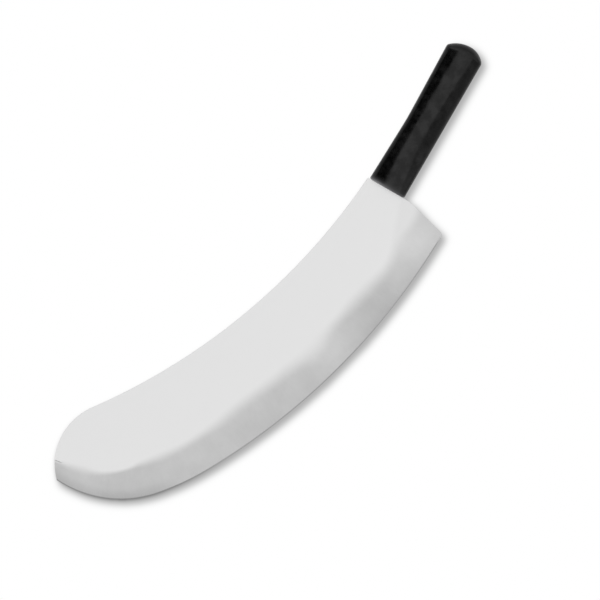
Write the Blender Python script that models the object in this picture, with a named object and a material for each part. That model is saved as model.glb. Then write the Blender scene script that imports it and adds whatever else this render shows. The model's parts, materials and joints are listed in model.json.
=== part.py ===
"""Mincing knife: a ground crescent blade whose tang is held in a moulded plastic handle.

The knife is drawn in the plane of its blade: X runs from the tip to the butt, Y towards the back, Z through
the thickness, and the origin is the middle of the handle's front face. It is then laid down as it comes to
rest on a table, on its handle and its cutting edge. Lengths are in metres.
"""

from math import atan2, ceil, copysign, cos, pi, radians, sin, sqrt, tan, tau

import bmesh
import bpy
from mathutils import Matrix, Vector
from mathutils.bvhtree import BVHTree
from mathutils.geometry import delaunay_2d_cdt

# Back of the blade, from the handle to where the tip rounds off
BACK_RADIUS = 0.623
BACK_LENGTH = 0.353
BACK_SLOPE = radians(10.4)
SPINE_PROUD = 0.0019

# Heel, and the cutting edge that runs from it to the tip in three arcs
HEEL_DROP = 0.07
HEEL_BEHIND = 0.0061
HEEL_CORNER_RADIUS = 0.005
EDGE_SLOPE = radians(13.7)
BELLY_RADIUS = 0.656
BELLY_LENGTH = 0.3275
TURN_RADIUS = 0.253
TURN_LENGTH = 0.052
NOSE_RADIUS = 0.1115
NOSE_LENGTH = 0.1025

# Thickness of the blade, and the ground band that thins it towards the edge
BLADE_THICKNESS = 0.003
GRIND_WIDTH = 0.031
GRIND_TIP_WIDTH = 0.016
GRIND_TAPER_LENGTH = 0.090
GRIND_HEEL_WIDTH = 0.040
GRIND_FLARE_LENGTH = 0.075
GRIND_THINNEST = 0.0005
SHOULDER_BLEND = 0.0055
HEEL_SHOULDER_BLEND = 0.016
GRIND_RUN_OUT = 0.030
HONE_WIDTH = 0.0012
EDGE_THICKNESS = 0.0001

# Tang inside the handle, with its lock holes
TANG_LENGTH = 0.115
TANG_ROOT_WIDTH = 0.026
TANG_END_WIDTH = 0.018
TANG_CORNER_RADIUS = 0.004
TANG_RELIEF = 0.00025
LOCK_HOLE_RADIUS = 0.004
LOCK_HOLES_AT = (0.035, 0.085)

# Handle
HANDLE_ANGLE = radians(14.3)
HANDLE_LENGTH = 0.159
HANDLE_WIDTH = 0.0384
HANDLE_THICKNESS = 0.027
WAIST_AT = 0.0675
WAIST_WIDTH_LOSS = 0.0020
WAIST_THICKNESS_LOSS = 0.0020
WAIST_SOFTNESS = 0.006
FRONT_CORNER = 0.0015
FRONT_FILLET = 0.0025
BUTT_DOME = 0.0089
BUTT_CROWN = 0.0063
BUTT_EDGE = 0.0014
BUTT_APEX_SHIFT = 0.0022
FRONT_EDGE_SQUARENESS = 4.2
FRONT_BACK_SQUARENESS = 2.4
WAIST_EDGE_SQUARENESS = 2.05
WAIST_BACK_SQUARENESS = 3.2
BUTT_SQUARENESS = 2.9

# Gap between the pieces, and how finely curves are divided
FIT = 0.0003
LONG_CURVE_STEP = 0.010
TIGHT_CURVE_STEP = 0.004
CORNER_STEP = 0.001
SHOULDER_ROWS = 4
HANDLE_SIDES = 48
HANDLE_RINGS = 20
FILLET_RINGS = 4
CAP_SCALES = (0.75, 0.5, 0.25)
HOLE_SIDES = 32
WELD = 1e-6
SETTLING_STEPS = 4

STEEL_DENSITY = 7850.0
PLASTIC_DENSITY = 1100.0
BLADE_SMOOTH_BELOW = radians(20)
HANDLE_SMOOTH_BELOW = radians(35)

DOWN = Vector((0.0, 0.0, -1.0))


def direction(heading):
    return Vector((cos(heading), sin(heading)))


def right_of(heading):
    return Vector((sin(heading), -cos(heading)))


def arc(start, heading, radius, length, step):
    """Points and headings along an arc, which bends right, or left where the radius is negative."""
    centre = start + right_of(heading) * radius
    count = max(2, ceil(length / step))
    stations = []
    for i in range(1, count + 1):
        turned = heading - length * i / count / radius
        stations.append((centre - right_of(turned) * radius, turned))
    return stations


def arc_to(start, heading, end, step):
    """Points and headings along the arc that leaves start at a heading and ends at a given point."""
    chord = end - start
    rightward = chord.dot(right_of(heading))
    forward = chord.dot(direction(heading))
    radius = chord.length_squared / (2 * rightward)
    swing = 2 * atan2(rightward, forward)
    return arc(start, heading, radius, radius * swing, step)


def rounded(before, corner, after, radius):
    """Points of the arc that rounds off the corner between two straight runs."""
    incoming = (corner - before).normalized()
    outgoing = (after - corner).normalized()
    turn = incoming.angle_signed(outgoing)
    start = corner - incoming * radius * tan(abs(turn) / 2)
    heading = atan2(incoming.y, incoming.x)
    bend = radius if turn > 0 else -radius
    points = [start]
    for point, _ in arc(start, heading, bend, radius * abs(turn), CORNER_STEP):
        points.append(point)
    return points


def cutting_edge():
    """Points and headings of the cutting edge, from the heel to the corner at the tip."""
    stations = [(Vector((HEEL_BEHIND, -HEEL_DROP)), pi + EDGE_SLOPE)]
    stations += arc(*stations[-1], BELLY_RADIUS, BELLY_LENGTH, LONG_CURVE_STEP)
    stations += arc(*stations[-1], TURN_RADIUS, TURN_LENGTH, TIGHT_CURVE_STEP)
    stations += arc(*stations[-1], NOSE_RADIUS, NOSE_LENGTH, TIGHT_CURVE_STEP)
    return stations


def on_handle(along, across):
    """Point in the blade's plane, by its place along the handle's axis and across it towards the back."""
    return direction(HANDLE_ANGLE) * along - right_of(HANDLE_ANGLE) * across


def blade_outline():
    """Outline of the blade without its tang, anticlockwise from the back's end at the handle."""
    edge = [point for point, _ in cutting_edge()]
    shoulder_top = on_handle(-FIT, HANDLE_WIDTH / 2 + SPINE_PROUD)
    heel_top_across = -(HEEL_BEHIND + FIT * cos(HANDLE_ANGLE)) / sin(HANDLE_ANGLE)
    heel_top = on_handle(-FIT, heel_top_across)
    back = arc(shoulder_top, pi + BACK_SLOPE, BACK_RADIUS, BACK_LENGTH, LONG_CURVE_STEP)
    tip = arc_to(*back[-1], edge[-1], TIGHT_CURVE_STEP)
    outline = [shoulder_top]
    outline += [point for point, _ in back + tip]
    outline += edge[-2:0:-1]
    outline += rounded(edge[1], edge[0], heel_top, HEEL_CORNER_RADIUS)
    outline.append(heel_top)
    return outline


def ground_line():
    """The cutting edge run on straight past both ends: points, headings and distances from the tip."""
    stations = cutting_edge()
    heel, heel_heading = stations[0]
    tip, tip_heading = stations[-1]
    before = heel - direction(heel_heading) * GRIND_RUN_OUT
    after = tip + direction(tip_heading) * GRIND_RUN_OUT
    stations = [(before, heel_heading), *stations, (after, tip_heading)]
    distance = -GRIND_RUN_OUT
    line = [(after, tip_heading, distance)]
    for i in range(len(stations) - 2, -1, -1):
        point, heading = stations[i]
        distance += (stations[i + 1][0] - point).length
        line.append((point, heading, distance))
    return line


def grind_at(from_tip):
    """Width of the ground band and softness of its shoulder, narrower to the tip and wider to the heel."""
    taper = min(1.0, from_tip / GRIND_TAPER_LENGTH)
    from_heel = BELLY_LENGTH + TURN_LENGTH + NOSE_LENGTH - from_tip
    flare = min(1.0, max(0.0, 1 - from_heel / GRIND_FLARE_LENGTH)) ** 2
    width = GRIND_TIP_WIDTH + (GRIND_WIDTH - GRIND_TIP_WIDTH) * taper
    blend = SHOULDER_BLEND * width / GRIND_WIDTH
    width += (GRIND_HEEL_WIDTH - GRIND_WIDTH) * flare
    blend += (HEEL_SHOULDER_BLEND - SHOULDER_BLEND) * flare
    return width, blend


def half_thickness(point, line):
    """Half the thickness of the blade at a point, from its distance to the cutting edge."""
    depth, from_tip = nearest(point, line)
    full = BLADE_THICKNESS / 2
    thin = GRIND_THINNEST / 2
    if depth < HONE_WIDTH:
        edge = EDGE_THICKNESS / 2
        return edge + (thin - edge) * depth / HONE_WIDTH
    width, blend = grind_at(from_tip)
    slope = (full - thin) / (width - HONE_WIDTH)
    if depth < width - blend:
        return thin + slope * (depth - HONE_WIDTH)
    rest = max(0.0, width + blend - depth)
    return full - slope * rest * rest / (4 * blend)


def nearest(point, line):
    """Distance from a point to the ground line, and how far from the tip its nearest point lies."""
    best = None
    for (a, _, a_from_tip), (b, _, b_from_tip) in zip(line, line[1:]):
        run = b - a
        along = min(1.0, max(0.0, (point - a).dot(run) / run.length_squared))
        distance = (point - a - run * along).length
        if best is None or distance < best[0]:
            best = (distance, a_from_tip + (b_from_tip - a_from_tip) * along)
    return best


def blade_mesh():
    """The ground blade: its outline, filled between rows that follow the ground band, on both sides."""
    line = ground_line()
    points = blade_outline()
    outline = list(range(len(points)))
    rows = [[] for _ in range(SHOULDER_ROWS + 1)]
    for point, heading, from_tip in line:
        width, blend = grind_at(from_tip)
        rows[0].append(point + right_of(heading) * HONE_WIDTH)
        for i in range(SHOULDER_ROWS):
            depth = width + blend * (2 * i / (SHOULDER_ROWS - 1) - 1)
            rows[i + 1].append(point + right_of(heading) * depth)
    edges = []
    for row in rows:
        edges.extend((i, i + 1) for i in range(len(points), len(points) + len(row) - 1))
        points.extend(row)
    filled = delaunay_2d_cdt(points, edges, [outline], 1, WELD)
    corners, faces, inside = filled[0], filled[2], filled[5]
    faces = [face for face, owners in zip(faces, inside) if owners]

    bm = bmesh.new()
    top = []
    bottom = []
    for corner in corners:
        height = half_thickness(corner, line)
        top.append(bm.verts.new((corner.x, corner.y, height)))
        bottom.append(bm.verts.new((corner.x, corner.y, -height)))
    sides = set()
    for face in faces:
        bm.faces.new([top[i] for i in face])
        bm.faces.new([bottom[i] for i in reversed(face)])
        sides.update(zip(face, face[1:] + face[:1]))
    for a, b in sorted(sides):
        if (b, a) not in sides:
            bm.faces.new((top[b], top[a], bottom[a], bottom[b]))
    loose = [vert for vert in bm.verts if not vert.link_faces]
    bmesh.ops.delete(bm, geom=loose, context="VERTS")
    return bm


def prism(outline, half_height):
    """A flat slab of the given outline, centred on the blade's plane."""
    bm = bmesh.new()
    face = bm.faces.new([bm.verts.new((point.x, point.y, -half_height)) for point in outline])
    raised = bmesh.ops.extrude_face_region(bm, geom=[face])["geom"]
    lift = Vector((0.0, 0.0, 2 * half_height))
    bmesh.ops.translate(bm, verts=[v for v in raised if isinstance(v, bmesh.types.BMVert)], vec=lift)
    bmesh.ops.recalc_face_normals(bm, faces=bm.faces)
    return bm


def tang_bar(growth):
    """The tang, or with some growth the slot that takes it, from a root inside the blade."""
    root = -TANG_ROOT_WIDTH / 2
    root_half = TANG_ROOT_WIDTH / 2 + growth
    end_half = TANG_END_WIDTH / 2 + growth
    end = TANG_LENGTH + growth
    low, far_low = Vector((0, -root_half)), Vector((end, -end_half))
    high, far_high = Vector((0, root_half)), Vector((end, end_half))
    radius = TANG_CORNER_RADIUS + growth
    outline = [Vector((root, -root_half)), low]
    outline += rounded(low, far_low, far_high, radius)
    outline += rounded(far_low, far_high, high, radius)
    outline += [high, Vector((root, root_half))]
    return prism(outline, BLADE_THICKNESS / 2 - TANG_RELIEF + growth)


def lock_cylinders(radius):
    """Round bars through the tang at its lock holes."""
    bm = bmesh.new()
    for along in LOCK_HOLES_AT:
        place = Matrix.Translation((along, 0.0, 0.0))
        bmesh.ops.create_cone(
            bm,
            cap_ends=True,
            segments=HOLE_SIDES,
            radius1=radius,
            radius2=radius,
            depth=2 * BLADE_THICKNESS,
            matrix=place,
        )
    return bm


def waist_share(along):
    """How much of the waist's loss a place on the handle has: all at the waist, none at both ends."""
    far_end = HANDLE_LENGTH - BUTT_DOME if along > WAIST_AT else 0.0
    reach = sqrt((far_end - WAIST_AT) ** 2 + WAIST_SOFTNESS**2) - WAIST_SOFTNESS
    rise = sqrt((along - WAIST_AT) ** 2 + WAIST_SOFTNESS**2) - WAIST_SOFTNESS
    return 1 - rise / reach


def squareness(along, at_front, at_waist):
    """Power of a side of the handle's rounded section, which stays near its waist's value up to the ends."""
    end = BUTT_SQUARENESS if along > WAIST_AT else at_front
    return at_waist + (end - at_waist) * (1 - waist_share(along)) ** 2


def section(along, side_inset=0.0, top_inset=0.0):
    """Round of the handle at a place on its axis, as points across and above, drawn in by two insets."""
    share = waist_share(along)
    edge_half = HANDLE_WIDTH / 2 - side_inset
    back_half = edge_half - WAIST_WIDTH_LOSS * share
    height = (HANDLE_THICKNESS - WAIST_THICKNESS_LOSS * share) / 2 - top_inset
    back_side = (back_half, 2 / squareness(along, FRONT_BACK_SQUARENESS, WAIST_BACK_SQUARENESS))
    edge_side = (edge_half, 2 / squareness(along, FRONT_EDGE_SQUARENESS, WAIST_EDGE_SQUARENESS))
    points = []
    for i in range(HANDLE_SIDES):
        angle = tau * i / HANDLE_SIDES
        half, power = back_side if cos(angle) > 0 else edge_side
        across = copysign(abs(cos(angle)) ** power, cos(angle)) * half
        above = copysign(abs(sin(angle)) ** power, sin(angle)) * height
        points.append((across, above))
    return points


def dome_fall(offset, half, depth):
    """How far a round dome has fallen at an offset from its middle, if its rim lies a given depth below."""
    radius = (half * half + depth * depth) / (2 * depth)
    return radius - sqrt(radius * radius - offset * offset)


def butt_at(across, above):
    """Place along the axis of the butt, which is domed both ways, with its apex nearer the edge side."""
    offset = across + BUTT_APEX_SHIFT
    half = HANDLE_WIDTH / 2 + copysign(BUTT_APEX_SHIFT, offset)
    fall = dome_fall(offset, half, BUTT_DOME) + dome_fall(above, HANDLE_THICKNESS / 2, BUTT_CROWN)
    return HANDLE_LENGTH - fall


def front_fillet(above):
    """Radius of the front's rounding, which grows from the sides of the handle to its top and bottom."""
    return FRONT_CORNER + (FRONT_FILLET - FRONT_CORNER) * abs(above) / (HANDLE_THICKNESS / 2)


def handle_rings():
    """Rings of points round the handle, from the rim of the flat front to just short of the butt's apex."""
    rings = []
    for i in range(FILLET_RINGS + 1):
        angle = pi / 2 * i / FILLET_RINGS
        ring = []
        for across, above in section(0.0, FRONT_CORNER * (1 - sin(angle)), FRONT_FILLET * (1 - sin(angle))):
            ring.append((front_fillet(above) * (1 - cos(angle)), across, above))
        rings.append(ring)
    sides_end = HANDLE_LENGTH - BUTT_DOME
    for i in range(1, HANDLE_RINGS):
        share = i / HANDLE_RINGS
        ring = []
        for across, above in section(sides_end * share):
            start = front_fillet(above)
            end = butt_at(across, above) - BUTT_EDGE
            ring.append((start + (end - start) * share, across, above))
        rings.append(ring)
    for i in range(FILLET_RINGS + 1):
        angle = pi / 2 * i / FILLET_RINGS
        inset = BUTT_EDGE * (1 - cos(angle))
        ring = []
        for across, above in section(sides_end, inset, inset):
            ring.append((butt_at(across, above) - BUTT_EDGE * (1 - sin(angle)), across, above))
        rings.append(ring)
    rim = rings[-1]
    for scale in CAP_SCALES:
        inward = BUTT_APEX_SHIFT * (1 - scale)
        ring = [(across * scale - inward, above * scale) for _, across, above in rim]
        rings.append([(butt_at(across, above), across, above) for across, above in ring])
    return rings


def handle_mesh():
    """The handle before its slot is cut, along its own axis."""
    bm = bmesh.new()
    rings = [[bm.verts.new(point) for point in ring] for ring in handle_rings()]
    middle = bm.verts.new((HANDLE_LENGTH, -BUTT_APEX_SHIFT, 0.0))
    bm.faces.new(rings[0])
    for near, far in zip(rings, rings[1:]):
        for i in range(HANDLE_SIDES):
            j = (i + 1) % HANDLE_SIDES
            bm.faces.new((near[i], near[j], far[j], far[i]))
    for i in range(HANDLE_SIDES):
        bm.faces.new((rings[-1][i], rings[-1][(i + 1) % HANDLE_SIDES], middle))
    bmesh.ops.recalc_face_normals(bm, faces=bm.faces)
    return bm


def empty(name, parent=None):
    """A frame that carries other objects."""
    frame = bpy.data.objects.new(name, None)
    frame.parent = parent
    bpy.context.scene.collection.objects.link(frame)
    return frame


def solid(name, bm, parent):
    """An object made of the given mesh, carried by a frame."""
    mesh = bpy.data.meshes.new(name)
    bm.to_mesh(mesh)
    bm.free()
    piece = bpy.data.objects.new(name, mesh)
    piece.parent = parent
    bpy.context.scene.collection.objects.link(piece)
    return piece


def shaper(name, bm, parent):
    """A solid that only shapes others, and is no piece of the knife."""
    piece = solid(name, bm, parent)
    piece.hide_render = True
    piece.display_type = "WIRE"
    return piece


def combine(piece, other, operation):
    """Join another solid to a piece, or cut it away."""
    boolean = piece.modifiers.new(other.name, "BOOLEAN")
    boolean.solver = "EXACT"
    boolean.operation = operation
    boolean.object = other


def finish(piece, material, smooth_below):
    """Give a piece its material, and smooth shading up to an angle."""
    piece.data.materials.append(material)
    piece.data.shade_smooth()
    piece.data.set_sharp_from_angle(angle=smooth_below)


def surface(name, colour, metallic, roughness):
    """A plain material."""
    material = bpy.data.materials.new(name)
    material.use_nodes = True
    shader = material.node_tree.nodes["Principled BSDF"]
    shader.inputs["Base Color"].default_value = (*colour, 1.0)
    shader.inputs["Metallic"].default_value = metallic
    shader.inputs["Roughness"].default_value = roughness
    return material


def make_blade(flat, axis):
    """The blade and its tang, which lies along the handle's axis."""
    blade = solid("blade", blade_mesh(), flat)
    tang = shaper("tang_shape", tang_bar(0.0), axis)
    holes = shaper("lock_hole_cutter", lock_cylinders(LOCK_HOLE_RADIUS), axis)
    combine(tang, holes, "DIFFERENCE")
    combine(blade, tang, "UNION")
    finish(blade, surface("steel", (0.68, 0.68, 0.69), 1.0, 0.35), BLADE_SMOOTH_BELOW)
    return blade


def make_handle(axis):
    """The handle, with the slot that the tang fills and the plugs through the tang's holes."""
    handle = solid("handle", handle_mesh(), axis)
    slot = shaper("tang_slot_cutter", tang_bar(FIT), axis)
    plugs = shaper("lock_plug_shape", lock_cylinders(LOCK_HOLE_RADIUS - FIT), axis)
    combine(slot, plugs, "DIFFERENCE")
    combine(handle, slot, "DIFFERENCE")
    finish(handle, surface("black_plastic", (0.012, 0.012, 0.013), 0.0, 0.38), HANDLE_SMOOTH_BELOW)
    return handle


def world_mesh(piece):
    """A piece's final shape, in world space."""
    depsgraph = bpy.context.evaluated_depsgraph_get()
    bm = bmesh.new()
    bm.from_object(piece, depsgraph)
    bm.transform(piece.matrix_world)
    bmesh.ops.triangulate(bm, faces=bm.faces)
    return bm


def centre_of_mass(weighed):
    """Centre of mass of closed meshes, each given with its density."""
    mass = 0.0
    moment = Vector((0.0, 0.0, 0.0))
    for bm, density in weighed:
        for face in bm.faces:
            a, b, c = (vert.co for vert in face.verts)
            wedge = density * a.dot(b.cross(c)) / 6
            mass += wedge
            moment += wedge * (a + b + c) / 4
    return moment / mass


def resting_down(points, centre):
    """Which way is down for a body that lies on the face of its hull below its centre of mass."""
    hull = bmesh.new()
    for point in points:
        hull.verts.new(point)
    bmesh.ops.convex_hull(hull, input=hull.verts)
    faces = BVHTree.FromBMesh(hull)
    hull.free()
    down = DOWN
    for _ in range(SETTLING_STEPS):
        down = faces.ray_cast(centre, down)[1]
    return down


def lay_down(flat, blade, handle):
    """Turn the knife to the way it lies on a table, with the middle of its footprint at the origin."""
    bpy.context.view_layer.update()
    weighed = ((world_mesh(blade), STEEL_DENSITY), (world_mesh(handle), PLASTIC_DENSITY))
    points = [vert.co.copy() for bm, _ in weighed for vert in bm.verts]
    down = resting_down(points, centre_of_mass(weighed))
    turn = down.rotation_difference(DOWN).to_matrix()
    turned = [turn @ point for point in points]
    low = Vector([min(point[i] for point in turned) for i in range(3)])
    high = Vector([max(point[i] for point in turned) for i in range(3)])
    middle = (low + high) / 2
    flat.matrix_world = Matrix.Translation((-middle.x, -middle.y, -low.z)) @ turn.to_4x4()


def main():
    for old in list(bpy.data.objects):
        bpy.data.objects.remove(old, do_unlink=True)
    flat = empty("knife_flat")
    axis = empty("handle_axis", flat)
    axis.rotation_euler.z = HANDLE_ANGLE
    blade = make_blade(flat, axis)
    handle = make_handle(axis)
    lay_down(flat, blade, handle)


main()
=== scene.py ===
import json
from math import atan2, ceil, copysign, cos, pi, radians, sin, sqrt, tan, tau

import bmesh
import bpy
import numpy as np
from mathutils import Matrix, Vector
from mathutils.bvhtree import BVHTree
from mathutils.geometry import delaunay_2d_cdt


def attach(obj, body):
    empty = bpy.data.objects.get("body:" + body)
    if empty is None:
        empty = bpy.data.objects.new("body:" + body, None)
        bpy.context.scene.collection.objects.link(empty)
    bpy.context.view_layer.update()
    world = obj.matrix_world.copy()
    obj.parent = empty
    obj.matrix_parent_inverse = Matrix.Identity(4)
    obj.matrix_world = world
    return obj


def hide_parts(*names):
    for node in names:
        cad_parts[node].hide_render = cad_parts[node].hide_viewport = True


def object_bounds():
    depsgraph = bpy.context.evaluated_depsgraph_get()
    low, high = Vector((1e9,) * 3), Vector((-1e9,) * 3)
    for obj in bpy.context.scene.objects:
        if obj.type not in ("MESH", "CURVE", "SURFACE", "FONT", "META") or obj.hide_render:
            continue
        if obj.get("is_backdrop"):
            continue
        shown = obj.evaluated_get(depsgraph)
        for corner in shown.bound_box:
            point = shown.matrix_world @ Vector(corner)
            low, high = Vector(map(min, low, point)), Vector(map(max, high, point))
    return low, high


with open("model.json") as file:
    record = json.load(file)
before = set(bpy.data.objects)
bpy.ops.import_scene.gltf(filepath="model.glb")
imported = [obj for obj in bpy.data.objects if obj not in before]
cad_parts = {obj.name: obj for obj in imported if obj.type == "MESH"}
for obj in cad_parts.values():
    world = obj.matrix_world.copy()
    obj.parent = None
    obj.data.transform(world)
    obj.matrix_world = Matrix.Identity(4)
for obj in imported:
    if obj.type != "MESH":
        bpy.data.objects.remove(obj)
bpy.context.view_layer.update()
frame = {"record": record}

# Looks of the mincing knife. Its blade and handle are drawn once more from the solids' own sizes, with finer
# steps, eased rims and a parting line. They are drawn in the blade's plane, with X from the tip to the butt,
# Y towards the back, Z through the thickness and the origin in the middle of the handle's front face. Then
# they are laid down where the solids lie. Lengths are in metres.

# Where the mount on the blade's underside sits in the blade's plane
MOUNT_AT = Vector((-0.17, -0.02, -0.0015))

# Back of the blade
BACK_RADIUS = 0.623
BACK_LENGTH = 0.353
BACK_SLOPE = radians(10.4)
SPINE_PROUD = 0.0019

# Heel, and the cutting edge in three arcs
HEEL_DROP = 0.07
HEEL_BEHIND = 0.0061
HEEL_CORNER_RADIUS = 0.005
EDGE_SLOPE = radians(13.7)
BELLY_RADIUS = 0.656
BELLY_LENGTH = 0.3275
TURN_RADIUS = 0.253
TURN_LENGTH = 0.052
NOSE_RADIUS = 0.1115
NOSE_LENGTH = 0.1025

# Thickness of the blade and its ground band
BLADE_THICKNESS = 0.003
GRIND_WIDTH = 0.031
GRIND_TIP_WIDTH = 0.016
GRIND_TAPER_LENGTH = 0.090
GRIND_HEEL_WIDTH = 0.040
GRIND_FLARE_LENGTH = 0.075
GRIND_THINNEST = 0.0005
SHOULDER_BLEND = 0.0055
HEEL_SHOULDER_BLEND = 0.016
GRIND_RUN_OUT = 0.030
HONE_WIDTH = 0.0012
EDGE_THICKNESS = 0.0001
RIM_EASE = 0.00025

# Tang
TANG_LENGTH = 0.115
TANG_ROOT_WIDTH = 0.026
TANG_END_WIDTH = 0.018
TANG_CORNER_RADIUS = 0.004
TANG_RELIEF = 0.00025
LOCK_HOLE_RADIUS = 0.004
LOCK_HOLES_AT = (0.035, 0.085)

# Handle
HANDLE_ANGLE = radians(14.3)
HANDLE_LENGTH = 0.159
HANDLE_WIDTH = 0.0384
HANDLE_THICKNESS = 0.027
WAIST_AT = 0.0675
WAIST_WIDTH_LOSS = 0.0020
WAIST_THICKNESS_LOSS = 0.0020
WAIST_SOFTNESS = 0.006
FRONT_CORNER = 0.0015
FRONT_FILLET = 0.0025
BUTT_DOME = 0.0089
BUTT_CROWN = 0.0063
BUTT_EDGE = 0.0014
BUTT_APEX_SHIFT = 0.0022
FRONT_EDGE_SQUARENESS = 4.2
FRONT_BACK_SQUARENESS = 2.4
WAIST_EDGE_SQUARENESS = 2.05
WAIST_BACK_SQUARENESS = 3.2
BUTT_SQUARENESS = 2.9
PARTING_WIDTH = 0.0004
PARTING_DEPTH = 0.00012

# Gap between the pieces, how finely curves are divided, and up to which angle the handle's faces are smooth
FIT = 0.0003
LONG_CURVE_STEP = 0.003
TIGHT_CURVE_STEP = 0.002
CORNER_STEP = 0.0005
BAND_ROWS = 5
SHOULDER_ROWS = 18
RIM_STEPS = 2
HANDLE_SIDES = 144
HANDLE_RINGS = 72
FILLET_RINGS = 8
CAP_RINGS = 10
HOLE_SIDES = 48
SMOOTH_ANGLE = radians(30)

# How near to each other two places count as one, and the kind of filling that stays inside an outline
WELD = 1e-6
FILL_INSIDE = 1

# Ways up and down, and a height that is below everything
UP = Vector((0.0, 0.0, 1.0))
DOWN = Vector((0.0, 0.0, -1.0))
UNDERGROUND = -1.0

# Camera, which looks straight down from far away: its height and turn, the place on the knife that it looks
# at, the width that it shows there, how far it sees, and its sensor's width in millimetres
CAMERA_HEIGHT = 16.0
CAMERA_TURN = radians(45.67)
CAMERA_AIM = Vector((-0.00084, -0.00140, 0.008))
VIEW_WIDTH = 0.5814
CAMERA_REACH = 160.0
SENSOR_WIDTH = 36.0

# Tones of the steel: the flat, the ground band with how much lighter it gets towards the flat, and the faint
# step that runs up to the handle, from one place in the blade's plane to another. The band's darker tone is
# partly its ground finish and partly painted shade, and the step is painted shade of a shallow facet.
FLAT_GREY = 0.835
BAND_GREY = 0.557
BAND_INNER_LIGHTER = 0.025
STEP_PAINTED_SHADE = 0.045
STEP_FROM = Vector((-0.0335, -0.0402))
STEP_TO = Vector((0.0006, -0.0176))
STEP_SOFTNESS = 0.004

# Tones of the hone: its grey, its darker grey at the tip and the stretch in which that ends, the stretch in
# which the hone fades at the heel, and the share of its grey that the very edge has before and past a
# stretch. Stretches along the edge are measured from the tip, here and below. The hone's dark greys are
# painted shade of its steep facet.
HONE_GREY = 0.48
HONE_TIP_GREY = 0.36
HONE_TIP_ENDS = (0.110, 0.180)
HONE_HEEL_ENDS = (0.468, 0.480)
HONE_EDGE_SHARES = (0.70, 0.80)
HONE_EDGE_ENDS = (0.330, 0.420)

# Darker tone of the ground band next to the hone: the depths in which it fades, how dark it is towards the
# tip and towards the heel, and the stretches in which these end and begin
EDGE_SHADE_DEPTHS = (0.001, 0.012)
TIP_SHADE = 0.085
TIP_SHADE_ENDS = (0.090, 0.135)
HEEL_SHADE = 0.030
HEEL_SHADE_ENDS = (0.270, 0.310)

# Soft patches along the ground band: distance from the tip, reach to each side, how much lighter, and how
# far they lean towards the tip with depth
BAND_PATCHES = (
    (0.018, 0.050, 0.030, 0.0),
    (0.072, 0.030, -0.010, 0.0),
    (0.160, 0.060, 0.020, 0.0),
    (0.322, 0.040, 0.064, 0.0),
    (0.387, 0.041, -0.050, 0.0),
    (0.474, 0.058, 0.100, 0.6),
)

# How far before the shoulder the ground band's tone starts to fade, and how far past it the tone is gone
TONE_BEFORE = 0.0065
TONE_PAST = 0.0090

# Stretches where it fades elsewhere: distance from the tip, reach to each side, and how much further from
# the edge the fading starts and ends
TONE_SHIFTS = (
    (0.012, 0.032, -0.0020, 0.0048),
    (0.080, 0.050, 0.0038, -0.0043),
    (0.150, 0.055, 0.0022, -0.0030),
    (0.225, 0.050, 0.0018, 0.0026),
    (0.270, 0.035, -0.0010, 0.0014),
    (0.310, 0.036, -0.0086, 0.0004),
    (0.385, 0.035, -0.0033, 0.0016),
    (0.425, 0.055, -0.0054, -0.0042),
    (0.455, 0.030, 0.0038, 0.0008),
    (0.475, 0.030, -0.0010, -0.0035),
)

# Grain of the steel, along the blade on the flat and across it in the ground band, and the band's streaks
# and clouds. A noise is given by how fine it is, how many finer layers it has and how strongly these show.
LONG_GRAIN = (5200.0, 3.0, 0.5)
CROSS_GRAIN = (2200.0, 3.0, 0.5)
STREAKS = (420.0, 2.0, 0.5)
CLOUDS = (45.0, 3.0, 0.6)

# How much of its fineness each keeps in the three directions
LONG_GRAIN_STRETCH = (0.008, 1.0, 1.0)
CROSS_GRAIN_STRETCH = (1.0, 0.035, 1.0)
STREAKS_STRETCH = (1.0, 0.25, 1.0)

# How far the tone reaches from each one's darkest to its lightest, for the cross grain as a share of the
# tone, and the steel's roughness and the height of its grain
LONG_GRAIN_TONE = 0.008
CROSS_GRAIN_TONE = 0.05
STREAKS_TONE = 0.03
CLOUDS_TONE = 0.11
STEEL_ROUGHNESS = (0.285, 0.335)
GRAIN_HEIGHT = 0.0000007

# Noises of the plastic: slow waves, an uneven polish, a mottle and a fine texture, with how high they stand
WAVES = (40.0, 1.0, 0.5)
POLISH = (95.0, 3.0, 0.6)
MOTTLE = (160.0, 3.0, 0.6)
TEXTURE = (2400.0, 2.0, 0.5)
WAVES_HEIGHT = 0.0007
MOTTLE_HEIGHT = 0.00008
TEXTURE_HEIGHT = 0.00001

# Tone, roughness and gloss of the plastic from the lowest to the highest, and the tint of what is not black
PLASTIC_GREYS = (0.0004, 0.0020)
PLASTIC_ROUGHNESS = (0.14, 0.22)
PLASTIC_GLOSS = (0.29, 0.42)
BLACK = (0.0, 0.0, 0.0, 1.0)
COOL_WHITE = (1.0, 1.0, 1.04, 1.0)

# Middle of a noise, and the parts of its range that are drawn out over a whole range of tones or gloss
NOISE_MIDDLE = 0.5
WIDE_RANGE = (0.3, 0.7)
NARROW_RANGE = (0.35, 0.65)

# Painted reflection of the steel on the rim at the handle's front: the stretch along the handle in which it
# fades, how light it is and how soon it fades, its shares on the edge side and the back side, and how far
# across the handle these are. The flat front face has a share of its own, up to a place just round the rim.
RIM_REFLECTION_ENDS = (-0.0005, 0.0140)
RIM_REFLECTION_GREY = 0.19
RIM_REFLECTION_FADE = 7.0
RIM_REFLECTION_SHARES = (0.60, 1.60)
RIM_REFLECTION_SIDES = (-0.016, 0.016)
FACE_REFLECTION = 0.15
FACE_ENDS_AT = 0.0003

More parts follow.
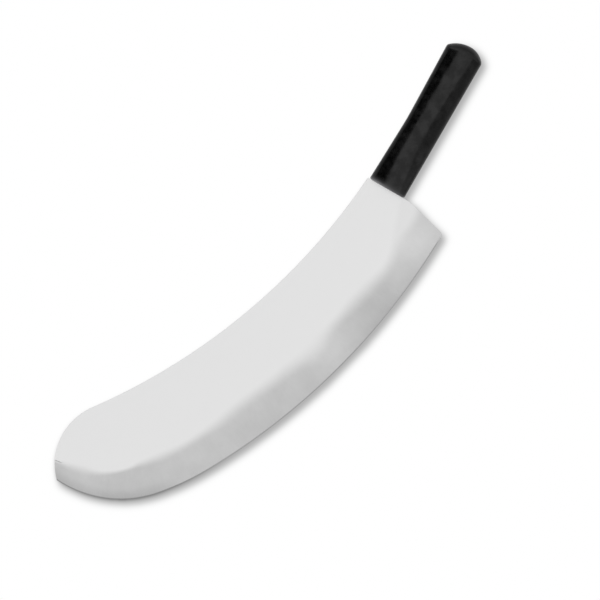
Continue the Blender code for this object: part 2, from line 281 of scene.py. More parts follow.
# Light for gloss. A narrow sweep across the handle has a wide soft light overhead, a dark side towards the
# back, and a dim light towards the edge and low at the back. Its angles are from straight up, positive to
# the back. Past the sweep the studio is pale all round. The sweep's reach and middle are shares of a ray
# that run along the handle. The ambient level is for all light but gloss.
SOFTBOX_LEVEL = 1.0
SOFTBOX_RISE = (radians(-30), radians(-22))
SOFTBOX_FALL = (radians(4.5), radians(11.5))
DIM_LEVEL = 0.40
DARK_LEVEL = 0.02
DARK_ENDS = (radians(72), radians(84))
SWEEP_REACH = (0.11, 0.20)
SWEEP_MIDDLE = -0.035
STUDIO_LEVEL = 1.0
HORIZON_LEVEL = 0.70
AMBIENT_LEVEL = 1.0

# Floor: how far it reaches, how pale it is to plain light, and how bright it looks in gloss
FLOOR_REACH = 40.0
FLOOR_GREY = 0.8
FLOOR_IN_GLOSS = 0.45

# The knife's soft shade on the floor is its outline, blurred, moved by a drop, made longer by a growth, and
# made stronger by a spread, up to its depth
SHADOW_DEPTH = 0.30
SHADOW_DROP = (-0.0004, -0.0056)
SHADOW_GROWTH = 1.0046
SHADOW_SOFTNESS = 0.0033
SHADOW_SPREAD = 1.12

# The narrow shade lies where the knife comes close to the floor, and fades with its height above it
CONTACT_DEPTH = 0.40
CONTACT_SOFTNESS = 0.0015
CONTACT_HEIGHT = 0.0010

# Grid that holds the shades, how many softnesses a blur reaches, and the power that turns screen values into
# light
SHADOW_CELL = 0.00075
SHADOW_MARGIN = 0.021
BLUR_REACH = 3
SCREEN_GAMMA = 2.2


def direction(heading):
    """Way that a heading points to in the blade's plane."""
    return Vector((cos(heading), sin(heading)))


def right_of(heading):
    """Way to the right of a heading."""
    return Vector((sin(heading), -cos(heading)))


def arc(start, heading, radius, length, step):
    """Points and headings along an arc, which bends right, or left where the radius is negative."""
    centre = start + right_of(heading) * radius
    count = max(2, ceil(length / step))
    stations = []
    for i in range(1, count + 1):
        turned = heading - length * i / count / radius
        stations.append((centre - right_of(turned) * radius, turned))
    return stations


def arc_to(start, heading, end, step):
    """Points and headings along the arc that leaves start at a heading and ends at a given point."""
    chord = end - start
    rightward = chord.dot(right_of(heading))
    forward = chord.dot(direction(heading))
    radius = chord.length_squared / (2 * rightward)
    swing = 2 * atan2(rightward, forward)
    return arc(start, heading, radius, radius * swing, step)


def rounded(before, corner, after, radius):
    """Points of the arc that rounds off the corner between two straight runs."""
    incoming = (corner - before).normalized()
    outgoing = (after - corner).normalized()
    turn = incoming.angle_signed(outgoing)
    start = corner - incoming * radius * tan(abs(turn) / 2)
    heading = atan2(incoming.y, incoming.x)
    bend = radius if turn > 0 else -radius
    points = [start]
    for point, _ in arc(start, heading, bend, radius * abs(turn), CORNER_STEP):
        points.append(point)
    return points


def cutting_edge():
    """Points and headings of the cutting edge, from the heel to the corner at the tip."""
    stations = [(Vector((HEEL_BEHIND, -HEEL_DROP)), pi + EDGE_SLOPE)]
    stations += arc(*stations[-1], BELLY_RADIUS, BELLY_LENGTH, LONG_CURVE_STEP)
    stations += arc(*stations[-1], TURN_RADIUS, TURN_LENGTH, TIGHT_CURVE_STEP)
    stations += arc(*stations[-1], NOSE_RADIUS, NOSE_LENGTH, TIGHT_CURVE_STEP)
    return stations


def on_handle(along, across):
    """Point in the blade's plane, by its place along the handle's axis and across it towards the back."""
    return direction(HANDLE_ANGLE) * along - right_of(HANDLE_ANGLE) * across


def blade_outline():
    """Outline of the blade without its tang, and the numbers of its points that are off the sharp edge."""
    edge = [point for point, _ in cutting_edge()]
    shoulder_top = on_handle(-FIT, HANDLE_WIDTH / 2 + SPINE_PROUD)
    heel_top_across = -(HEEL_BEHIND + FIT * cos(HANDLE_ANGLE)) / sin(HANDLE_ANGLE)
    heel_top = on_handle(-FIT, heel_top_across)
    back = arc(shoulder_top, pi + BACK_SLOPE, BACK_RADIUS, BACK_LENGTH, LONG_CURVE_STEP)
    tip = arc_to(*back[-1], edge[-1], TIGHT_CURVE_STEP)
    heel = rounded(edge[1], edge[0], heel_top, HEEL_CORNER_RADIUS)
    first = [shoulder_top] + [point for point, _ in back + tip]
    last = heel[1:] + [heel_top]
    sharp = edge[-2:0:-1] + heel[:1]
    outline = first + sharp + last
    blunt = set(range(len(first))) | set(range(len(first) + len(sharp) - 1, len(outline)))
    return outline, blunt


def ground_line():
    """The cutting edge run on straight past both ends: points, headings and distances from the tip."""
    stations = cutting_edge()
    heel, heel_heading = stations[0]
    tip, tip_heading = stations[-1]
    before = heel - direction(heel_heading) * GRIND_RUN_OUT
    after = tip + direction(tip_heading) * GRIND_RUN_OUT
    stations = [(before, heel_heading), *stations, (after, tip_heading)]
    distance = -GRIND_RUN_OUT
    line = [(after, tip_heading, distance)]
    for i in range(len(stations) - 2, -1, -1):
        point, heading = stations[i]
        distance += (stations[i + 1][0] - point).length
        line.append((point, heading, distance))
    return line


def tapered_width(from_tip):
    """Width of the ground band, narrower to the tip, but for its widening at the heel."""
    taper = min(1.0, from_tip / GRIND_TAPER_LENGTH)
    return GRIND_TIP_WIDTH + (GRIND_WIDTH - GRIND_TIP_WIDTH) * taper


def grind_at(from_tip):
    """Width of the ground band and softness of its shoulder, narrower to the tip and wider to the heel."""
    from_heel = BELLY_LENGTH + TURN_LENGTH + NOSE_LENGTH - from_tip
    flare = min(1.0, max(0.0, 1 - from_heel / GRIND_FLARE_LENGTH)) ** 2
    width = tapered_width(from_tip)
    blend = SHOULDER_BLEND * width / GRIND_WIDTH
    width += (GRIND_HEEL_WIDTH - GRIND_WIDTH) * flare
    blend += (HEEL_SHOULDER_BLEND - SHOULDER_BLEND) * flare
    return width, blend


def half_thickness(depth, from_tip):
    """Half the thickness of the blade at a depth behind the cutting edge."""
    full = BLADE_THICKNESS / 2
    thin = GRIND_THINNEST / 2
    if depth < HONE_WIDTH:
        edge = EDGE_THICKNESS / 2
        return edge + (thin - edge) * depth / HONE_WIDTH
    width, blend = grind_at(from_tip)
    slope = (full - thin) / (width - HONE_WIDTH)
    if depth < width - blend:
        return thin + slope * (depth - HONE_WIDTH)
    # The shoulder is a parabola, which meets both the slope and the flat without a kink
    rest = max(0.0, width + blend - depth)
    return full - slope * rest * rest / (4 * blend)


def eased(share):
    """A share kept between none and all, with eased ends."""
    share = min(1.0, max(0.0, share))
    return share * share * (3 - 2 * share)


def tone_range(from_tip):
    """Depths between which the dark tone of the ground band fades out."""
    width = tapered_width(from_tip)
    size = (width / GRIND_WIDTH) ** 2
    start = width - TONE_BEFORE * size
    end = width + TONE_PAST * size
    for centre, reach, start_shift, end_shift in TONE_SHIFTS:
        share = eased(1 - abs(from_tip - centre) / reach)
        start += start_shift * share
        end += end_shift * share
    return start, end


def ground_share(depth, from_tip):
    """How much of the ground band's tone a place has: all in the band, none on the flat."""
    low, high = tone_range(from_tip)
    return eased((high - depth) / (high - low))


def nearest(point, line):
    """Distance from a point to the ground line, and how far from the tip its nearest point lies."""
    best = None
    for (a, _, a_from_tip), (b, _, b_from_tip) in zip(line, line[1:]):
        run = b - a
        along = min(1.0, max(0.0, (point - a).dot(run) / run.length_squared))
        distance = (point - a - run * along).length
        if best is None or distance < best[0]:
            best = (distance, a_from_tip + (b_from_tip - a_from_tip) * along)
    return best


def blade_rows(line):
    """Rows of points that follow the cutting edge, from where the hone ends to past the band's shoulder."""
    rows = [[] for _ in range(BAND_ROWS + SHOULDER_ROWS)]
    for point, heading, from_tip in line:
        width, blend = grind_at(from_tip)
        tone_low, tone_high = tone_range(from_tip)
        low = min(width - blend, tone_low)
        high = max(width + blend, tone_high)
        depths = [HONE_WIDTH + (low - HONE_WIDTH) * i / BAND_ROWS for i in range(BAND_ROWS)]
        depths += [low + (high - low) * i / (SHOULDER_ROWS - 1) for i in range(SHOULDER_ROWS)]
        for row, depth in zip(rows, depths):
            row.append(point + right_of(heading) * depth)
    return rows


def blade_mesh():
    """The ground blade, with its depth, place and share of the ground band kept at each corner."""
    line = ground_line()
    points, blunt = blade_outline()
    outline = list(range(len(points)))
    edges = []
    for row in blade_rows(line):
        edges.extend((i, i + 1) for i in range(len(points), len(points) + len(row) - 1))
        points.extend(row)
    filled = delaunay_2d_cdt(points, edges, [outline], FILL_INSIDE, WELD)
    corners, _, faces, origins, _, inside = filled
    faces = [face for face, owners in zip(faces, inside) if owners]

    bm = bmesh.new()
    layers = {name: bm.verts.layers.float.new(name) for name in ("depth", "along", "ground")}
    easing = bm.edges.layers.float.new("bevel_weight_edge")
    sides = {-1: [], 1: []}
    places = []
    for corner in corners:
        depth, from_tip = nearest(corner, line)
        places.append(depth)
        for side, verts in sides.items():
            vert = bm.verts.new((corner.x, corner.y, side * half_thickness(depth, from_tip)))
            vert[layers["depth"]] = depth
            vert[layers["along"]] = from_tip
            vert[layers["ground"]] = ground_share(depth, from_tip)
            verts.append(vert)
    rims = set()
    for face in faces:
        bm.faces.new([sides[1][i] for i in face])
        bm.faces.new([sides[-1][i] for i in reversed(face)])
        rims.update(zip(face, face[1:] + face[:1]))
    rims = [(a, b) for a, b in sorted(rims) if (b, a) not in rims]
    on_blunt = [bool(blunt.intersection(origin)) for origin in origins]
    for a, b in rims:
        bm.faces.new((sides[1][b], sides[1][a], sides[-1][a], sides[-1][b]))
        for verts in sides.values():
            rim = bm.edges.get((verts[a], verts[b]))
            rim.smooth = False
            # Every rim is eased but the sharp edge
            away = min(places[a], places[b]) > WELD or on_blunt[a] and on_blunt[b]
            rim[easing] = 1.0 if away else 0.0
    # The line where the hone ends is crisp
    for verts in sides.values():
        for face in faces:
            for a, b in zip(face, face[1:] + face[:1]):
                if max(abs(places[a] - HONE_WIDTH), abs(places[b] - HONE_WIDTH)) < WELD:
                    bm.edges.get((verts[a], verts[b])).smooth = False
    bmesh.ops.delete(bm, geom=[vert for vert in bm.verts if not vert.link_faces], context="VERTS")
    return bm


def prism(outline, half_height):
    """A flat slab of the given outline, centred on the blade's plane."""
    bm = bmesh.new()
    face = bm.faces.new([bm.verts.new((point.x, point.y, -half_height)) for point in outline])
    raised = bmesh.ops.extrude_face_region(bm, geom=[face])["geom"]
    lift = Vector((0.0, 0.0, 2 * half_height))
    bmesh.ops.translate(bm, verts=[v for v in raised if isinstance(v, bmesh.types.BMVert)], vec=lift)
    bmesh.ops.recalc_face_normals(bm, faces=bm.faces)
    return bm


def tang_bar(growth):
    """The tang, or with some growth the slot that takes it, from a root inside the blade."""
    root = -TANG_ROOT_WIDTH / 2
    root_half = TANG_ROOT_WIDTH / 2 + growth
    end_half = TANG_END_WIDTH / 2 + growth
    end = TANG_LENGTH + growth
    low, far_low = Vector((0, -root_half)), Vector((end, -end_half))
    high, far_high = Vector((0, root_half)), Vector((end, end_half))
    radius = TANG_CORNER_RADIUS + growth
    outline = [Vector((root, -root_half)), low]
    outline += rounded(low, far_low, far_high, radius)
    outline += rounded(far_low, far_high, high, radius)
    outline += [high, Vector((root, root_half))]
    return prism(outline, BLADE_THICKNESS / 2 - TANG_RELIEF + growth)


def lock_cylinders(radius):
    """Round bars through the tang at its lock holes."""
    bm = bmesh.new()
    for along in LOCK_HOLES_AT:
        bmesh.ops.create_cone(
            bm,
            cap_ends=True,
            segments=HOLE_SIDES,
            radius1=radius,
            radius2=radius,
            depth=2 * BLADE_THICKNESS,
            matrix=Matrix.Translation((along, 0.0, 0.0)),
        )
    return bm


def waist_share(along):
    """How much of the waist's loss a place on the handle has: all at the waist, none at both ends."""
    far_end = HANDLE_LENGTH - BUTT_DOME if along > WAIST_AT else 0.0
    reach = sqrt((far_end - WAIST_AT) ** 2 + WAIST_SOFTNESS**2) - WAIST_SOFTNESS
    rise = sqrt((along - WAIST_AT) ** 2 + WAIST_SOFTNESS**2) - WAIST_SOFTNESS
    return 1 - rise / reach


def squareness(along, at_front, at_waist):
    """Power of a side of the handle's rounded section, which stays near its waist's value up to the ends."""
    end = BUTT_SQUARENESS if along > WAIST_AT else at_front
    return at_waist + (end - at_waist) * (1 - waist_share(along)) ** 2


def section(along, side_inset=0.0, top_inset=0.0):
    """Round of the handle at a place on its axis, with the parting line as a fine groove down both sides."""
    share = waist_share(along)
    edge_half = HANDLE_WIDTH / 2 - side_inset
    back_half = edge_half - WAIST_WIDTH_LOSS * share
    height = (HANDLE_THICKNESS - WAIST_THICKNESS_LOSS * share) / 2 - top_inset
    back_side = (back_half, 2 / squareness(along, FRONT_BACK_SQUARENESS, WAIST_BACK_SQUARENESS))
    edge_side = (edge_half, 2 / squareness(along, FRONT_EDGE_SQUARENESS, WAIST_EDGE_SQUARENESS))
    points = []
    for i in range(HANDLE_SIDES):
        angle = tau * i / HANDLE_SIDES
        half, power = back_side if cos(angle) > 0 else edge_side
        across = copysign(abs(cos(angle)) ** power, cos(angle)) * half
        above = copysign(abs(sin(angle)) ** power, sin(angle)) * height
        if i % (HANDLE_SIDES // 2):
            points.append((across, above))
        else:
            lip = copysign(PARTING_WIDTH / 2, across)
            points.append((across, -lip))
            points.append((across - copysign(PARTING_DEPTH, across), 0.0))
            points.append((across, lip))
    return points


def dome_fall(offset, half, depth):
    """How far a round dome has fallen at an offset from its middle, if its rim lies a given depth below."""
    radius = (half * half + depth * depth) / (2 * depth)
    return radius - sqrt(radius * radius - offset * offset)


def butt_at(across, above):
    """Place along the axis of the butt, which is domed both ways, with its apex nearer the edge side."""
    offset = across + BUTT_APEX_SHIFT
    half = HANDLE_WIDTH / 2 + copysign(BUTT_APEX_SHIFT, offset)
    fall = dome_fall(offset, half, BUTT_DOME) + dome_fall(above, HANDLE_THICKNESS / 2, BUTT_CROWN)
    return HANDLE_LENGTH - fall


def front_fillet(above):
    """Radius of the front's rounding, which grows from the sides of the handle to its top and bottom."""
    return FRONT_CORNER + (FRONT_FILLET - FRONT_CORNER) * abs(above) / (HANDLE_THICKNESS / 2)


def handle_rings():
    """Rings of points round the handle, from the rim of the flat front to just short of the butt's apex."""
    rings = []
    for i in range(FILLET_RINGS + 1):
        angle = pi / 2 * i / FILLET_RINGS
        ring = []
        for across, above in section(0.0, FRONT_CORNER * (1 - sin(angle)), FRONT_FILLET * (1 - sin(angle))):
            ring.append((front_fillet(above) * (1 - cos(angle)), across, above))
        rings.append(ring)
    sides_end = HANDLE_LENGTH - BUTT_DOME
    for i in range(1, HANDLE_RINGS):
        share = i / HANDLE_RINGS
        ring = []
        for across, above in section(sides_end * share):
            start = front_fillet(above)
            end = butt_at(across, above) - BUTT_EDGE
            ring.append((start + (end - start) * share, across, above))
        rings.append(ring)
    for i in range(FILLET_RINGS + 1):
        angle = pi / 2 * i / FILLET_RINGS
        inset = BUTT_EDGE * (1 - cos(angle))
        ring = []
        for across, above in section(sides_end, inset, inset):
            ring.append((butt_at(across, above) - BUTT_EDGE * (1 - sin(angle)), across, above))
        rings.append(ring)
    rim = rings[-1]
    for i in range(1, CAP_RINGS):
        inward = i / CAP_RINGS
        ring = []
        for _, across, above in rim:
            ring.append((across * (1 - inward) - BUTT_APEX_SHIFT * inward, above * (1 - inward)))
        rings.append([(butt_at(across, above), across, above) for across, above in ring])
    return rings


def handle_mesh():
    """The handle before its slot is cut, along its own axis."""
    bm = bmesh.new()
    rings = [[bm.verts.new(point) for point in ring] for ring in handle_rings()]
    middle = bm.verts.new((HANDLE_LENGTH, -BUTT_APEX_SHIFT, 0.0))
    bm.faces.new(rings[0])
    count = len(rings[0])
    for near, far in zip(rings, rings[1:]):
        for i in range(count):
            j = (i + 1) % count
            bm.faces.new((near[i], near[j], far[j], far[i]))
    for i in range(count):
        bm.faces.new((rings[-1][i], rings[-1][(i + 1) % count], middle))
    bmesh.ops.recalc_face_normals(bm, faces=bm.faces)
    return bm


def resting_place():
    """The move from the blade's plane to where the solids lie, read from the mount under the blade."""
    mounts = {mount["name"]: mount for mount in frame["record"]["mounts"]}
    under = mounts["blade_face_under"]
    turn = DOWN.rotation_difference(Vector(under["axis"])).to_matrix()
    move = Vector(under["pos_m"]) - turn @ MOUNT_AT
    return Matrix.Translation(move) @ turn.to_4x4()


def solid(name, bm, place):
    """An object made of the given mesh, put in its place."""
    bm.transform(place)
    mesh = bpy.data.meshes.new(name)
    bm.to_mesh(mesh)
    bm.free()
    piece = bpy.data.objects.new(name, mesh)
    bpy.context.scene.collection.objects.link(piece)
    return piece


def combine(piece, other, operation):
    """Join another object to a piece, or cut it away, for good."""
    boolean = piece.modifiers.new(operation, "BOOLEAN")
    boolean.solver = "EXACT"
    boolean.operation = operation
    boolean.object = other
    settle(piece)
    bpy.data.objects.remove(other, do_unlink=True)


def settle(piece):
    """Turn a piece's modifiers into its mesh."""
    shape = piece.evaluated_get(bpy.context.evaluated_depsgraph_get())
    mesh = bpy.data.meshes.new_from_object(shape)
    piece.modifiers.clear()
    piece.data = mesh


def ease_rims(piece):
    """Round the sharp rims that carry a bevel weight, and keep the broad faces' shading flat."""
    bevel = piece.modifiers.new("eased_rims", "BEVEL")
    bevel.limit_method = "WEIGHT"
    bevel.width = RIM_EASE
    bevel.segments = RIM_STEPS
    bevel.harden_normals = True


class Nodes:
    """Short ways to build a node tree."""

    # The mixing node's colour sockets, which share their names with its other sockets
    FIRST_COLOUR = 6
    SECOND_COLOUR = 7
    MIXED_COLOUR = 2

    def __init__(self, tree):
        self.tree = tree

    def add(self, kind, **settings):
        """A new node with the given settings."""
        node = self.tree.nodes.new(kind)
        for name, value in settings.items():
            setattr(node, name, value)
        return node

    def put(self, socket, value):
        """Link a socket, or set its value."""
        if isinstance(value, bpy.types.NodeSocket):
            self.tree.links.new(value, socket)
        elif value is not None:
            socket.default_value = value

    def math(self, operation, *values):
        """The result of a calculation with values or sockets."""
        node = self.add("ShaderNodeMath", operation=operation)
        for socket, value in zip(node.inputs, values):
            self.put(socket, value)
        return node.outputs["Value"]

    def span(self, value, low, high, to_low=0.0, to_high=1.0, smooth=True):
        """Map a value from one range to another, with eased ends or evenly."""
        node = self.add("ShaderNodeMapRange", interpolation_type="SMOOTHSTEP" if smooth else "LINEAR")
        for socket, given in zip(node.inputs, (value, low, high, to_low, to_high)):
            self.put(socket, given)
        return node.outputs["Result"]

    def mix(self, share, first, second):
        """Mix two colours or greys."""
        node = self.add("ShaderNodeMix", data_type="RGBA")
        self.put(node.inputs[0], share)
        for number, value in ((self.FIRST_COLOUR, first), (self.SECOND_COLOUR, second)):
            colour = (value, value, value, 1.0) if isinstance(value, float) else value
            self.put(node.inputs[number], colour)
        return node.outputs[self.MIXED_COLOUR]

    def attribute(self, name):
        """A value that the mesh keeps at its corners."""
        return self.add("ShaderNodeAttribute", attribute_name=name).outputs["Fac"]

    def place_in(self, matrix):
        """The place that is shaded, as it lies before a move and turn."""
        node = self.add("ShaderNodeMapping", vector_type="TEXTURE")
        self.put(node.inputs["Vector"], self.add("ShaderNodeTexCoord").outputs["Object"])
        node.inputs["Location"].default_value = matrix.to_translation()
        node.inputs["Rotation"].default_value = matrix.to_euler()
        return node.outputs["Vector"]

    def stretched(self, vector, scale):
        """A vector scaled in the three directions."""
        node = self.add("ShaderNodeMapping")
        self.put(node.inputs["Vector"], vector)
        node.inputs["Scale"].default_value = scale
        return node.outputs["Vector"]

    def dot(self, vector, axis):
        """How far a vector reaches along an axis."""
        node = self.add("ShaderNodeVectorMath", operation="DOT_PRODUCT")
        self.put(node.inputs[0], vector)
        node.inputs[1].default_value = axis
        return node.outputs["Value"]

    def noise(self, vector, scale, detail, roughness):
        """A noise at a place."""
        node = self.add("ShaderNodeTexNoise")
        self.put(node.inputs["Vector"], vector)
        node.inputs["Scale"].default_value = scale
        node.inputs["Detail"].default_value = detail
        node.inputs["Roughness"].default_value = roughness
        return node.outputs["Fac"]

    def varied(self, tone, noise, reach):
        """A tone that a noise makes lighter and darker, by half of the reach at most."""
        return self.math("MULTIPLY_ADD", self.math("SUBTRACT", noise, NOISE_MIDDLE), reach, tone)

    def bump(self, height, distance, normal=None):
        """A normal that leans with a height, over another normal where one is given."""
        node = self.add("ShaderNodeBump")
        self.put(node.inputs["Height"], height)
        node.inputs["Distance"].default_value = distance
        node.inputs["Strength"].default_value = 1.0
        self.put(node.inputs["Normal"], normal)
        return node.outputs["Normal"]


def new_material(name):
    """A material, its nodes and its main shader."""
    material = bpy.data.materials.new(name)
    material.use_nodes = True
    return material, Nodes(material.node_tree), material.node_tree.nodes["Principled BSDF"]


# The steel's darker tones are painted shade on the step and the hone, and partly so in the ground band
def steel(lie):
    """Satin steel with lengthwise grain on the flat, and cross grain and darker tones in the ground band."""
    material, nodes, shader = new_material("satin_steel")
    depth = nodes.attribute("depth")
    along = nodes.attribute("along")
    ground = nodes.attribute("ground")
    flat_place = nodes.place_in(lie)
    combined = nodes.add("ShaderNodeCombineXYZ")
    nodes.put(combined.inputs["X"], along)
    nodes.put(combined.inputs["Y"], depth)
    band_place = combined.outputs["Vector"]
    long_grain = nodes.noise(nodes.stretched(flat_place, LONG_GRAIN_STRETCH), *LONG_GRAIN)
    cross_grain = nodes.noise(nodes.stretched(band_place, CROSS_GRAIN_STRETCH), *CROSS_GRAIN)
    streaks = nodes.noise(nodes.stretched(band_place, STREAKS_STRETCH), *STREAKS)
    clouds = nodes.noise(band_place, *CLOUDS)

    # The ground band's darker tone: partly its ground finish, partly painted shade
    band = nodes.varied(BAND_GREY, clouds, CLOUDS_TONE)
    band = nodes.varied(band, streaks, STREAKS_TONE)
    for centre, reach, lighter, lean in BAND_PATCHES:
        leaning = nodes.math("MULTIPLY_ADD", depth, lean, along)
        away = nodes.math("ABSOLUTE", nodes.math("SUBTRACT", leaning, centre))
        band = nodes.math("ADD", band, nodes.span(away, 0.0, reach, lighter, 0.0))
    band = nodes.math("ADD", band, nodes.span(depth, HONE_WIDTH, GRIND_WIDTH, 0.0, BAND_INNER_LIGHTER))
    shade = nodes.span(along, *TIP_SHADE_ENDS, TIP_SHADE, 0.0)
    shade = nodes.math("ADD", shade, nodes.span(along, *HEEL_SHADE_ENDS, 0.0, HEEL_SHADE))
    shade = nodes.math("MULTIPLY", shade, nodes.span(depth, *EDGE_SHADE_DEPTHS, 1.0, 0.0))
    band = nodes.math("SUBTRACT", band, shade)
    band = nodes.math("MULTIPLY", band, nodes.varied(1.0, cross_grain, CROSS_GRAIN_TONE))

    # Painted shade of the faint step, a shallow facet that runs up to the handle
    step = STEP_TO - STEP_FROM
    below = Vector((step.y, -step.x)).normalized()
    past_step = nodes.math("SUBTRACT", nodes.dot(flat_place, below.to_3d()), below.dot(STEP_FROM))
    painted_step_shade = nodes.span(past_step, -STEP_SOFTNESS, STEP_SOFTNESS, 0.0, STEP_PAINTED_SHADE)
    flat = nodes.math("SUBTRACT", nodes.varied(FLAT_GREY, long_grain, LONG_GRAIN_TONE), painted_step_shade)

    tone = nodes.mix(ground, flat, band)
    # Painted shade of the steep hone facet, darker at the tip
    hone = nodes.span(along, *HONE_TIP_ENDS, HONE_TIP_GREY, HONE_GREY)
    at_edge = nodes.span(along, *HONE_EDGE_ENDS, *HONE_EDGE_SHARES)
    hone = nodes.math("MULTIPLY", hone, nodes.span(depth, 0.0, HONE_WIDTH, at_edge, 1.0))
    in_hone = nodes.math("LESS_THAN", depth, HONE_WIDTH)
    in_hone = nodes.math("MULTIPLY", in_hone, nodes.span(along, *HONE_HEEL_ENDS, 1.0, 0.0))
    nodes.put(shader.inputs["Base Color"], nodes.mix(in_hone, tone, hone))
    grain = nodes.mix(ground, long_grain, cross_grain)
    nodes.put(shader.inputs["Roughness"], nodes.span(grain, *WIDE_RANGE, *STEEL_ROUGHNESS))
    nodes.put(shader.inputs["Normal"], nodes.bump(grain, GRAIN_HEIGHT))
    shader.inputs["Metallic"].default_value = 1.0
    return material


def black_plastic(axis):
    """Black plastic, uneven in tone and polish, with slow waves, a fine texture and a painted reflection on
    its front rim.
    """
    material, nodes, shader = new_material("moulded_black_plastic")
    place = nodes.place_in(axis)
    texture = nodes.noise(place, *TEXTURE)
    mottle = nodes.noise(place, *MOTTLE)
    polish = nodes.noise(place, *POLISH)
    waves = nodes.noise(place, *WAVES)
    parts = nodes.add("ShaderNodeSeparateXYZ")
    nodes.put(parts.inputs["Vector"], place)
    along, across = parts.outputs["X"], parts.outputs["Y"]

    # Painted reflection of the steel on the front rim, weaker on the flat front face
    painted_reflection = nodes.span(along, *RIM_REFLECTION_ENDS, 1.0, 0.0, smooth=False)
    painted_reflection = nodes.math("POWER", painted_reflection, RIM_REFLECTION_FADE)
    on_rim = nodes.span(along, 0.0, FACE_ENDS_AT, FACE_REFLECTION, 1.0, smooth=False)
    on_side = nodes.span(across, *RIM_REFLECTION_SIDES, *RIM_REFLECTION_SHARES)
    painted_reflection = nodes.math("MULTIPLY", painted_reflection, nodes.math("MULTIPLY", on_rim, on_side))
    tone = nodes.span(mottle, *NARROW_RANGE, *PLASTIC_GREYS)
    tone = nodes.math("MULTIPLY_ADD", painted_reflection, RIM_REFLECTION_GREY, tone)
    nodes.put(shader.inputs["Base Color"], nodes.mix(tone, BLACK, COOL_WHITE))
    nodes.put(shader.inputs["Roughness"], nodes.span(mottle, *WIDE_RANGE, *PLASTIC_ROUGHNESS))
    nodes.put(shader.inputs["Specular IOR Level"], nodes.span(polish, *NARROW_RANGE, *PLASTIC_GLOSS))
    normal = nodes.bump(waves, WAVES_HEIGHT)
    normal = nodes.bump(mottle, MOTTLE_HEIGHT, normal)
    nodes.put(shader.inputs["Normal"], nodes.bump(texture, TEXTURE_HEIGHT, normal))
    return material


def soften(shade, softness, drop=(0.0, 0.0)):
    """Blur a grid of shares both ways, and move it by a drop."""
    reach = ceil((BLUR_REACH * softness + max(map(abs, drop))) / SHADOW_CELL)
    places = SHADOW_CELL * np.arange(-reach, reach + 1)
    for axis, move in ((1, drop[0]), (0, drop[1])):
        weights = np.exp(-0.5 * ((places - move) / softness) ** 2)
        shade = np.apply_along_axis(np.convolve, axis, shade, weights / weights.sum(), mode="same")
    return shade


def shade_on(xs, ys, pieces):
    """How much the knife darkens the floor at each place of a grid, from its outline and its height."""
    shapes = bpy.context.evaluated_depsgraph_get()
    trees = [BVHTree.FromObject(piece, shapes) for piece in pieces]
    heights = np.full((len(ys), len(xs)), np.inf)
    for row, y in enumerate(ys):
        for column, x in enumerate(xs):
            for tree in trees:
                hit = tree.ray_cast(Vector((x, y, UNDERGROUND)), UP)[0]
                if hit:
                    heights[row, column] = min(heights[row, column], hit.z)
    soft = soften(np.isfinite(heights).astype(float), SHADOW_SOFTNESS, SHADOW_DROP)
    soft = np.array([np.interp(xs / SHADOW_GROWTH, xs, row) for row in soft])
    contact = soften(np.exp(-heights / CONTACT_HEIGHT), CONTACT_SOFTNESS)
    return SHADOW_DEPTH * np.minimum(1.0, SHADOW_SPREAD * soft) + CONTACT_DEPTH * contact


def make_floor(pieces):
    """A plain pale floor, finely divided round the knife, which keeps the knife's shades."""
    low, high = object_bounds()
    stretches = []
    for i in range(2):
        start = low[i] - SHADOW_MARGIN
        count = ceil((high[i] + SHADOW_MARGIN - start) / SHADOW_CELL)
        stretches.append(start + SHADOW_CELL * np.arange(count + 1))
    xs, ys = stretches
    shade = np.pad(shade_on(xs, ys, pieces), 1)
    xs, ys = (np.concatenate(([-FLOOR_REACH], places, [FLOOR_REACH])) for places in (xs, ys))
    wide = len(xs)
    corners = [(x, y, 0.0) for y in ys for x in xs]
    faces = []
    for row in range(len(ys) - 1):
        for i in range(row * wide, row * wide + wide - 1):
            faces.append((i, i + 1, i + 1 + wide, i + wide))
    mesh = bpy.data.meshes.new("floor")
    mesh.from_pydata(corners, [], faces)
    mesh.attributes.new("shade", "FLOAT", "POINT").data.foreach_set("value", shade.ravel())
    mesh.materials.append(pale_floor())
    floor = bpy.data.objects.new("floor", mesh)
    bpy.context.scene.collection.objects.link(floor)
    floor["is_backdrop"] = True


def pale_floor():
    """White to the camera but for the knife's shades, dimmer in gloss, and plain pale to all other light."""
    material, nodes, shader = new_material("pale_floor")
    path = nodes.add("ShaderNodeLightPath").outputs
    light = nodes.math("POWER", nodes.math("SUBTRACT", 1.0, nodes.attribute("shade")), SCREEN_GAMMA)
    level = nodes.span(path["Is Glossy Ray"], 0.0, 1.0, 1.0, FLOOR_IN_GLOSS, smooth=False)
    glow = nodes.add("ShaderNodeEmission")
    nodes.put(glow.inputs["Strength"], nodes.math("MULTIPLY", light, level))
    shader.inputs["Base Color"].default_value = (FLOOR_GREY, FLOOR_GREY, FLOOR_GREY, 1.0)
    shader.inputs["Roughness"].default_value = 1.0
    shader.inputs["Specular IOR Level"].default_value = 0.0
    seen = nodes.math("MAXIMUM", path["Is Camera Ray"], path["Is Glossy Ray"])
    seen = nodes.math("MAXIMUM", seen, path["Is Transmission Ray"])
    mixed = nodes.add("ShaderNodeMixShader")
    nodes.put(mixed.inputs[0], seen)
    nodes.put(mixed.inputs[1], shader.outputs[0])
    nodes.put(mixed.inputs[2], glow.outputs[0])
    nodes.put(material.node_tree.nodes["Material Output"].inputs["Surface"], mixed.outputs[0])
    return material


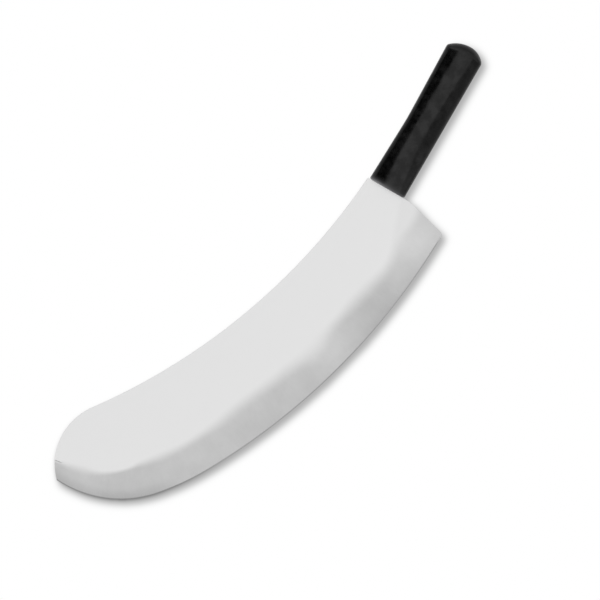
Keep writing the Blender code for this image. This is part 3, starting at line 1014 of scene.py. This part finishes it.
def light_world(axis):
    """White behind everything, and for gloss a pale studio with a sweep of light across the handle."""
    world = bpy.data.worlds.new("studio")
    bpy.context.scene.world = world
    world.use_nodes = True
    world.cycles.sampling_method = "NONE"
    nodes = Nodes(world.node_tree)
    path = nodes.add("ShaderNodeLightPath").outputs
    ray = nodes.add("ShaderNodeTexCoord").outputs["Generated"]
    handle_way = axis.col[0].to_3d()
    back_way = UP.cross(handle_way).normalized()
    up = nodes.dot(ray, UP)
    lean = nodes.math("ARCTAN2", nodes.dot(ray, back_way), up)
    aside = nodes.math("SUBTRACT", nodes.dot(ray, handle_way), SWEEP_MIDDLE - handle_way.z)
    aside = nodes.math("ABSOLUTE", aside)

    sweep = nodes.span(lean, *SOFTBOX_RISE, DIM_LEVEL, SOFTBOX_LEVEL)
    sweep = nodes.mix(nodes.span(lean, *SOFTBOX_FALL), sweep, DARK_LEVEL)
    sweep = nodes.mix(nodes.span(lean, *DARK_ENDS), sweep, DIM_LEVEL)
    studio = nodes.span(up, 0.0, 1.0, HORIZON_LEVEL, STUDIO_LEVEL, smooth=False)
    level = nodes.mix(nodes.span(aside, *SWEEP_REACH), sweep, studio)
    level = nodes.mix(path["Is Glossy Ray"], AMBIENT_LEVEL, level)
    white = nodes.math("MAXIMUM", path["Is Camera Ray"], path["Is Transmission Ray"])
    background = world.node_tree.nodes["Background"]
    nodes.put(background.inputs["Color"], nodes.mix(white, level, 1.0))


def make_camera():
    """A camera far above the knife, turned as the photograph shows it."""
    data = bpy.data.cameras.new("camera")
    data.sensor_width = SENSOR_WIDTH
    data.lens = SENSOR_WIDTH * CAMERA_HEIGHT / VIEW_WIDTH
    data.clip_end = CAMERA_REACH
    camera = bpy.data.objects.new("camera", data)
    camera.location = CAMERA_AIM + UP * CAMERA_HEIGHT
    camera.rotation_euler = (0.0, 0.0, -CAMERA_TURN)
    bpy.context.scene.collection.objects.link(camera)
    bpy.context.scene.camera = camera


def make_blade(lie, axis):
    """The blade with eased rims, joined to its tang."""
    blade = solid("knife_blade", blade_mesh(), lie)
    blade.data.shade_smooth()
    ease_rims(blade)
    settle(blade)
    combine(blade, solid("tang", tang_bar(0.0), axis), "UNION")
    combine(blade, solid("lock_holes", lock_cylinders(LOCK_HOLE_RADIUS), axis), "DIFFERENCE")
    blade.data.materials.clear()
    blade.data.materials.append(steel(lie))
    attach(blade, "root")
    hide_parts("blade")
    return blade


def make_handle(axis):
    """The handle with its tang slot and the plugs through the tang's holes."""
    handle = solid("knife_handle", handle_mesh(), axis)
    handle.data.shade_smooth()
    slot = solid("slot", tang_bar(FIT), axis)
    combine(slot, solid("plugs", lock_cylinders(LOCK_HOLE_RADIUS - FIT), axis), "DIFFERENCE")
    combine(handle, slot, "DIFFERENCE")
    handle.data.set_sharp_from_angle(angle=SMOOTH_ANGLE)
    handle.data.materials.clear()
    handle.data.materials.append(black_plastic(axis))
    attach(handle, "root")
    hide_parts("handle")
    return handle


def main():
    """Draw the knife where its solids lie, with its floor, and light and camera."""
    lie = resting_place()
    axis = lie @ Matrix.Rotation(HANDLE_ANGLE, 4, "Z")
    pieces = [make_blade(lie, axis), make_handle(axis)]
    make_floor(pieces)
    light_world(axis)
    make_camera()
    bpy.context.scene.view_settings.view_transform = "Standard"


main()
